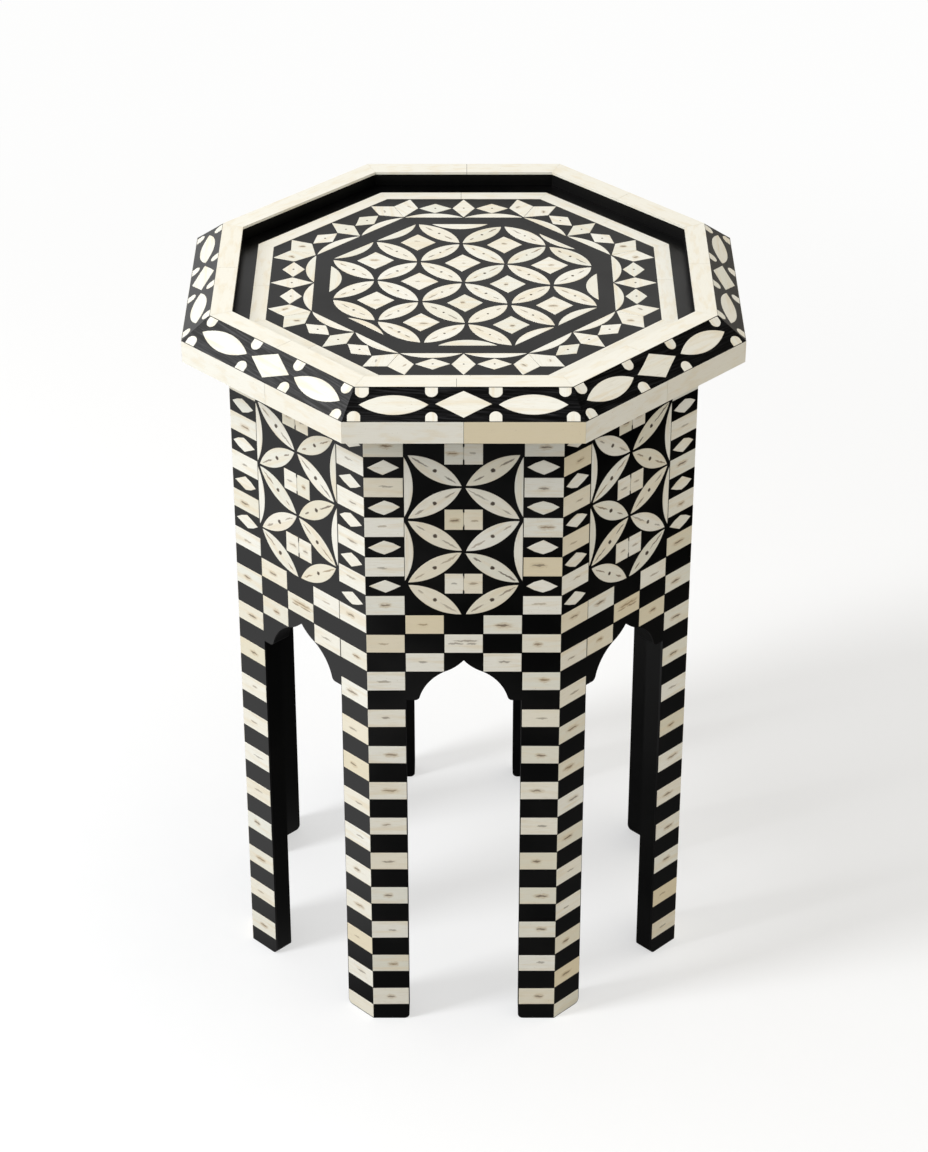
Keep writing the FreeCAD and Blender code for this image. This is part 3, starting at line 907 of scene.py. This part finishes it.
def bone_material(name, stretch, greyness, cloudiness, graininess):
    """Polished bone. Every tile has its own tone, clouds, grain, pores and dark marks."""
    graph = Graph(bpy.data.materials.new(name))
    u, v, depth = graph.attribute("place")
    tone, seed = graph.attribute("look")[:2]
    away = graph.times(seed, SEED_SPREAD)
    chance = graph.math("FRACT", graph.times(seed, 13.7))

    def along_grain(share):
        return graph.vector(graph.times(u, share), v, away)

    def swing(noise, amount):
        return graph.times(graph.minus(noise, 0.5), amount)

    even = graph.vector(u, v, away)
    cloud = graph.noise(along_grain(stretch), 0.22, 3.0)
    grain = graph.noise(along_grain(0.07), 1.7, 4.0, 0.65)
    pores = graph.noise(even, 0.9)
    base = graph.ramp(tone, BONE_TONES)
    base = graph.mix(graph.times(graph.step(chance, 0.5, 0.95), greyness), base, BONE_GREY)
    base = graph.mix(graph.times(graph.step(cloud, 0.46, 0.7), cloudiness), base, BONE_CLOUD)
    base = graph.mix(graph.times(graph.step(grain, 0.48, 0.8), graininess), base, BONE_GRAIN)
    base = graph.mix(graph.times(graph.step(pores, 0.7, 0.78), 0.5), base, BONE_PORE)

    fray = swing(graph.noise(along_grain(0.3), 1.1, 3.0), 1.7)
    bent = graph.plus(v, swing(graph.noise(even, 0.3), 2.2))

    def stroke(along, across, half_length, half_width):
        """Share of a frayed dark stroke. A stroke without length doesn't show."""
        lengthwise = graph.math("DIVIDE", along, graph.larger(half_length, SHORTEST))
        crosswise = graph.math("DIVIDE", across, half_width)
        squares = graph.plus(graph.times(lengthwise, lengthwise), graph.times(crosswise, crosswise))
        shown = graph.minus(1.0, graph.step(graph.plus(squares, fray), 0.35, 1.25))
        return graph.times(shown, graph.math("GREATER_THAN", half_length, 0.05))

    dash_u, dash_v, dash_half = graph.attribute("dash")
    pair_u, pair_half, dot = graph.attribute("pair")
    along = graph.minus(u, dash_u)
    across = graph.minus(bent, dash_v)
    stain = stroke(along, across, graph.times(dash_half, STAIN_LENGTH), STAIN_HALF_WIDTH)
    stained = graph.times(graph.step(chance, 0.2, 0.6), 0.4)
    base = graph.mix(graph.times(stain, stained), base, BONE_STAIN)
    single = stroke(along, across, dash_half, DASH_HALF_WIDTH)
    mirrored = graph.minus(graph.math("ABSOLUTE", u), pair_u)
    uneven = graph.times(graph.math("SIGN", u), graph.minus(chance, 0.5))
    pair_length = graph.times(pair_half, graph.plus(1.0, uneven))
    double = stroke(mirrored, bent, pair_length, PAIR_HALF_WIDTH)
    centre = stroke(u, v, dot, graph.larger(dot, SHORTEST))
    mark = graph.larger(graph.larger(single, double), centre)
    strength = graph.plus(0.48, graph.times(chance, 0.35))
    colour = graph.mix(graph.times(mark, strength), base, graph.ramp(seed, MARK_TONES))
    colour = graph.mix(graph.times(centre, 0.92), colour, DOT_COLOUR)
    edge = graph.times(graph.step(graph.times(depth, -1.0), 0.02, 0.3), 0.35)
    colour = graph.mix(edge, colour, BONE_EDGE)
    graph.set(Base_Color=colour, Roughness=0.42, Specular_IOR_Level=0.35)
    graph.bump(graph.minus(graph.times(grain, 0.3), mark), 0.25, 0.0002)
    return graph.owner


RESIN_DARK = (0.001, 0.001, 0.001)
RESIN_CLOUD = (0.004, 0.0037, 0.0035)
RESIN_SCRATCH = (0.014, 0.014, 0.017)


def resin_material(name, roughness=0.34, shine=0.5, brushed=False):
    """Black resin or lacquer. Brushed resin has fine scratches that run along the side."""
    graph = Graph(bpy.data.materials.new(name))
    cloud = graph.noise(graph.coordinates("Object"), 14.0, 3.0)
    colour = graph.mix(graph.step(cloud, 0.35, 0.75), RESIN_DARK, RESIN_CLOUD)
    if brushed:
        along, across = graph.attribute("place")[:2]
        sloping = graph.plus(across, graph.times(along, 0.06))
        lines = graph.vector(graph.times(along, 0.035), sloping, graph.times(cloud, 3.0))
        scratch = graph.step(graph.noise(lines, 0.8, 5.0, 0.7), 0.42, 0.72)
        colour = graph.mix(graph.times(scratch, 0.8), colour, RESIN_SCRATCH)
        rough = graph.plus(roughness - 0.05, graph.times(scratch, 0.2))
        shine = graph.plus(shine - 0.18, graph.times(scratch, 0.4))
        graph.bump(scratch, 0.12, 0.0003)
    else:
        rough = graph.plus(roughness - 0.06, graph.times(graph.step(cloud, 0.3, 0.75), 0.14))
    graph.set(Base_Color=colour, Roughness=rough, Specular_IOR_Level=shine)
    return graph.owner


WOOD_TONES = [(0.3, (0.24, 0.13, 0.06)), (0.5, (0.36, 0.21, 0.11)), (0.7, (0.45, 0.29, 0.16))]
WOOD_SCALE = (120.0, 120.0, 9.0)


def wood_material(name):
    """Raw wood with upright grain."""
    graph = Graph(bpy.data.materials.new(name))
    stretch = graph.node("ShaderNodeMapping")
    stretch.inputs["Scale"].default_value = WOOD_SCALE
    graph.link(graph.coordinates("Object"), stretch.inputs["Vector"])
    grain = graph.noise(stretch.outputs[0], 1.0, 5.0, 0.6)
    graph.set(Base_Color=graph.ramp(grain, WOOD_TONES), Roughness=0.7)
    graph.bump(grain, 0.3, 0.0004)
    return graph.owner


bone = bone_material("bone_tile", stretch=0.12, greyness=0.5, cloudiness=0.6, graininess=0.42)
strip_bone = bone_material("bone_strip", stretch=0.3, greyness=0.0, cloudiness=0.45, graininess=0.2)
resin = resin_material("black_resin")
brushed_resin = resin_material("brushed_resin", brushed=True)
lacquer = resin_material("black_lacquer", 0.45, 0.3)
rim_lacquer = resin_material("rim_lacquer", 0.55, 0.12)
raw_wood = wood_material("raw_wood")

# Sides

ARCH = arch_line()
SIDE_OUTLINE = (
    [(HALF_FACE, 0.0), (HALF_FACE, BODY_HEIGHT), (-HALF_FACE, BODY_HEIGHT), (-HALF_FACE, 0.0)]
    + [(-x, y) for x, y in ARCH]
    + ARCH[-2::-1]
)
for side, (name, rows) in enumerate(SIDE_ROWS.items()):
    plane = at_side(FACE_PLANE, side)
    tiles = side_tiles(rows)
    inlay = Piece(f"{name}_side_bone")
    for tile in tiles:
        inlay.add_tile(tile, plane)
    inlay.finish(bone, [f"{name}_side_inlay"])
    ground = Piece(f"{name}_side_resin")
    ground.add_ground(SIDE_OUTLINE, tiles, plane, mitred=True)
    ground.finish(resin)

# Lid: bevel, tray and strips

BEVEL_OUTLINE = [
    (-LID * HALF_TURN_TAN, 0.0),
    (LID * HALF_TURN_TAN, 0.0),
    (RIM_OUTER * HALF_TURN_TAN, BEVEL_LENGTH),
    (-RIM_OUTER * HALF_TURN_TAN, BEVEL_LENGTH),
]
bevel_bone = Piece("bevel_bone")
bevel_resin = Piece("bevel_resin")
for side in range(SIDES):
    plane = at_side(BEVEL_PLANE, side)
    tiles = bevel_tiles()
    for tile in tiles:
        bevel_bone.add_tile(tile, plane)
    bevel_resin.add_ground(BEVEL_OUTLINE, tiles, plane)
bevel_bone.finish(bone, ["bevel_inlay"])
bevel_resin.finish(brushed_resin)

border = [turned_tile(tile, side) for side in range(SIDES) for tile in border_tiles()]
rosette = rosette_tiles()
border_bone = Piece("tray_border_bone")
rosette_bone = Piece("tray_rosette_bone")
for tile in border:
    border_bone.add_tile(tile, TRAY_PLANE)
for tile in rosette:
    rosette_bone.add_tile(tile, TRAY_PLANE)
border_bone.finish(bone, ["tray_border_inlay"])
rosette_bone.finish(bone, ["tray_rosette_inlay"])

outer_ring = Piece("tray_margin_resin")
outer_ring.add_ground(octagon(RIM_INNER), [Tile(octagon(FRAME_OUTER), (0, 0))], TRAY_PLANE)
outer_ring.finish(resin)
tray_resin = Piece("tray_resin")
tray_resin.add_ground(octagon(FRAME_INNER), border + rosette, TRAY_PLANE)
tray_resin.finish(resin)

# The wood of the lid lies one bone thickness below the finished faces
EDGE_WOOD = LID - BONE
BONE_ACROSS = BONE * BEVEL_RISE / BEVEL_LENGTH
BONE_UP = BONE * BEVEL_RUN / BEVEL_LENGTH
SLOPE = BEVEL_RISE / BEVEL_RUN
EDGE_WOOD_TOP = BEVEL_FOOT - BONE_UP + (LID - BONE_ACROSS - EDGE_WOOD) * SLOPE
RIM_WOOD = RIM_TOP - BONE
RIM_WOOD_EDGE = LID - BONE_ACROSS - (RIM_WOOD - BEVEL_FOOT + BONE_UP) / SLOPE

# Sections of the strips, each with the number of the point where its shown face starts
STRIPS = {
    "edge_strips": (
        [(EDGE_WOOD, BODY_HEIGHT), (LID, BODY_HEIGHT), (LID, BEVEL_FOOT), (EDGE_WOOD, EDGE_WOOD_TOP)],
        1,
    ),
    "rim_strips": (
        [(RIM_INNER, RIM_WOOD), (RIM_WOOD_EDGE, RIM_WOOD), (RIM_OUTER, RIM_TOP), (RIM_INNER, RIM_TOP)],
        3,
    ),
    "tray_frame_strips": (
        [(FRAME_INNER, BOARD_TOP), (FRAME_OUTER, BOARD_TOP), (FRAME_OUTER, TRAY), (FRAME_INNER, TRAY)],
        3,
    ),
}
for node, (section, face) in STRIPS.items():
    strips = Piece(node.replace("strips", "bone_strips"))
    for side in range(SIDES):
        joint = about(0.0, STRIP_JOINT_SLIP)
        tones = (dice.uniform(0.1, 0.5), dice.uniform(0.1, 0.6))
        if node == "edge_strips" and side == 0:
            joint, tones = 0.0, FRONT_EDGE_TONES
        strips.add_bar(section, None, joint - STRIP_GAP, tones[0], dice.random(), face, side)
        strips.add_bar(section, joint + STRIP_GAP, None, tones[1], dice.random(), face, side)
    strips.finish(strip_bone, [node])

# Boards, rails and glue blocks keep the solids' own shapes

for name, node in nodes.items():
    if node.hide_render:
        continue
    look = lacquer
    if "corner_block" in name:
        look = raw_wood
    elif "rim_rail" in name:
        look = rim_lacquer
    node.data.materials.clear()
    node.data.materials.append(look)

# Floor, background, light and camera, in metres

FLOOR_REACH = 30.0
PAPER = (0.95, 0.965, 0.99)
PAPER_BOUNCE = (0.6, 0.6, 0.6)    # the paper as it lights the table
FAR_WHITE = (0.985, 0.985, 0.98)
WHITE = (1.0, 1.0, 1.0)
WARM = (1.0, 0.94, 0.83)
FLOOR_GLOSS_FROM = 0.06
FLOOR_GLOSS_TO = 0.3
FLOOR_GLOSS = 0.62
NEAR_GLOSS = 0.07
WORLD_EVEN = 0.05
WORLD_LEFT = 0.5
WORLD_RIGHT = 1.0
WORLD_BACK = 0.25
WORLD_UP = 0.45
LEFT_WALL = 1.55
BACK_WALL = 0.62
GLOSS_EVEN = 0.005
KEY = 66.0
KEY_WIDTH = 0.6
KEY_HEIGHT = 2.2
KEY_PLACE = (-2.15, -0.9, 2.3)
KEY_AIM = (0, 0, 0.3)
CAMERA_LENS = 100.94
CAMERA_PLACE = (0.00022, -2.1087, 1.6160)
CAMERA_DOWN = 0.5585      # radians below level


def floor_material():
    """White paper that takes the shadow; under the table painted light lifts it, and far off it is
    plain white.

    In shiny faces it is dark, with a bright left side.
    """
    graph = Graph(bpy.data.materials.new("floor_paper"))
    rays = graph.light_path()
    paper = graph.mix(rays["Is Camera Ray"], PAPER_BOUNCE, PAPER)
    graph.set(Base_Color=paper, Roughness=0.9, Specular_IOR_Level=0.1)
    x, y = graph.split(graph.coordinates("Object"))[:2]
    away = graph.math("SQRT", graph.plus(graph.times(x, x), graph.times(y, y)))
    # Painted light: under the table the camera sees a larger share of plain white, which pales the
    # shadow there.
    under = graph.minus(0.6, graph.times(graph.step(away, 0.12, 0.32), 0.2))
    whiter = graph.plus(under, graph.times(graph.step(away, 0.55, 1.6), 0.6))
    white_share = graph.times(whiter, rays["Is Camera Ray"])
    seen = graph.mix_shaders(white_share, graph.shader.outputs[0], graph.emission(FAR_WHITE, 1.0))
    leftness = graph.step(graph.times(x, -1.0), FLOOR_GLOSS_FROM, FLOOR_GLOSS_TO)
    near = graph.times(graph.minus(1.0, graph.step(away, 0.45, 0.8)), NEAR_GLOSS)
    mirrored = graph.emission(WHITE, graph.plus(near, graph.times(leftness, FLOOR_GLOSS)))
    surface = graph.mix_shaders(rays["Is Glossy Ray"], seen, mirrored)
    graph.link(surface, graph.tree.nodes["Material Output"].inputs["Surface"])
    return graph.owner


def studio_world():
    """Soft light from each side; shiny faces see a bright left wall and a paler back wall."""
    graph = Graph(bpy.data.worlds.new("studio"))
    background = graph.tree.nodes["Background"]
    x, y, z = graph.split(graph.coordinates("Generated"))
    soft = WORLD_EVEN
    sides = ((x, -1, WORLD_LEFT), (x, 1, WORLD_RIGHT), (y, 1, WORLD_BACK), (z, 1, WORLD_UP))
    for value, sign, strength in sides:
        towards = graph.larger(graph.times(value, sign), 0.0)
        soft = graph.plus(soft, graph.times(towards, strength))
    left_wall = graph.times(graph.step(graph.times(x, -1.0), 0.25, 0.65), LEFT_WALL)
    low = graph.minus(1.0, graph.step(z, 0.55, 0.8))
    back_wall = graph.times(graph.times(graph.step(y, 0.45, 0.8), low), BACK_WALL)
    gloss = graph.plus(graph.larger(left_wall, back_wall), GLOSS_EVEN)
    shiny = graph.light_path()["Is Glossy Ray"]
    strength = graph.plus(soft, graph.times(shiny, graph.minus(gloss, soft)))
    graph.link(strength, background.inputs["Strength"])
    graph.link(graph.mix(graph.step(x, -0.1, 0.5), WHITE, WARM), background.inputs["Color"])
    return graph.owner


floor_mesh = bpy.data.meshes.new("floor")
floor_corners = [(x * FLOOR_REACH, y * FLOOR_REACH, 0) for x, y in rectangle(-1, -1, 1, 1)]
floor_mesh.from_pydata(floor_corners, [], [(0, 1, 2, 3)])
floor_mesh.materials.append(floor_material())
floor = bpy.data.objects.new("floor", floor_mesh)
bpy.context.scene.collection.objects.link(floor)
bpy.context.scene.world = studio_world()

key_data = bpy.data.lights.new("key", "AREA")
key_data.shape = "RECTANGLE"
key_data.size = KEY_WIDTH
key_data.size_y = KEY_HEIGHT
key_data.energy = KEY
key = bpy.data.objects.new("key", key_data)
key.location = KEY_PLACE
key.rotation_euler = (Vector(KEY_AIM) - Vector(KEY_PLACE)).to_track_quat("-Z", "Y").to_euler()
bpy.context.scene.collection.objects.link(key)

camera_data = bpy.data.cameras.new("camera")
camera_data.sensor_width = 36.0
camera_data.lens = CAMERA_LENS
camera = bpy.data.objects.new("camera", camera_data)
camera.location = CAMERA_PLACE
camera.rotation_euler = (math.pi / 2 - CAMERA_DOWN, 0.0, 0.0)
bpy.context.scene.collection.objects.link(camera)
bpy.context.scene.camera = camera
bpy.context.scene.view_settings.view_transform = "Standard"
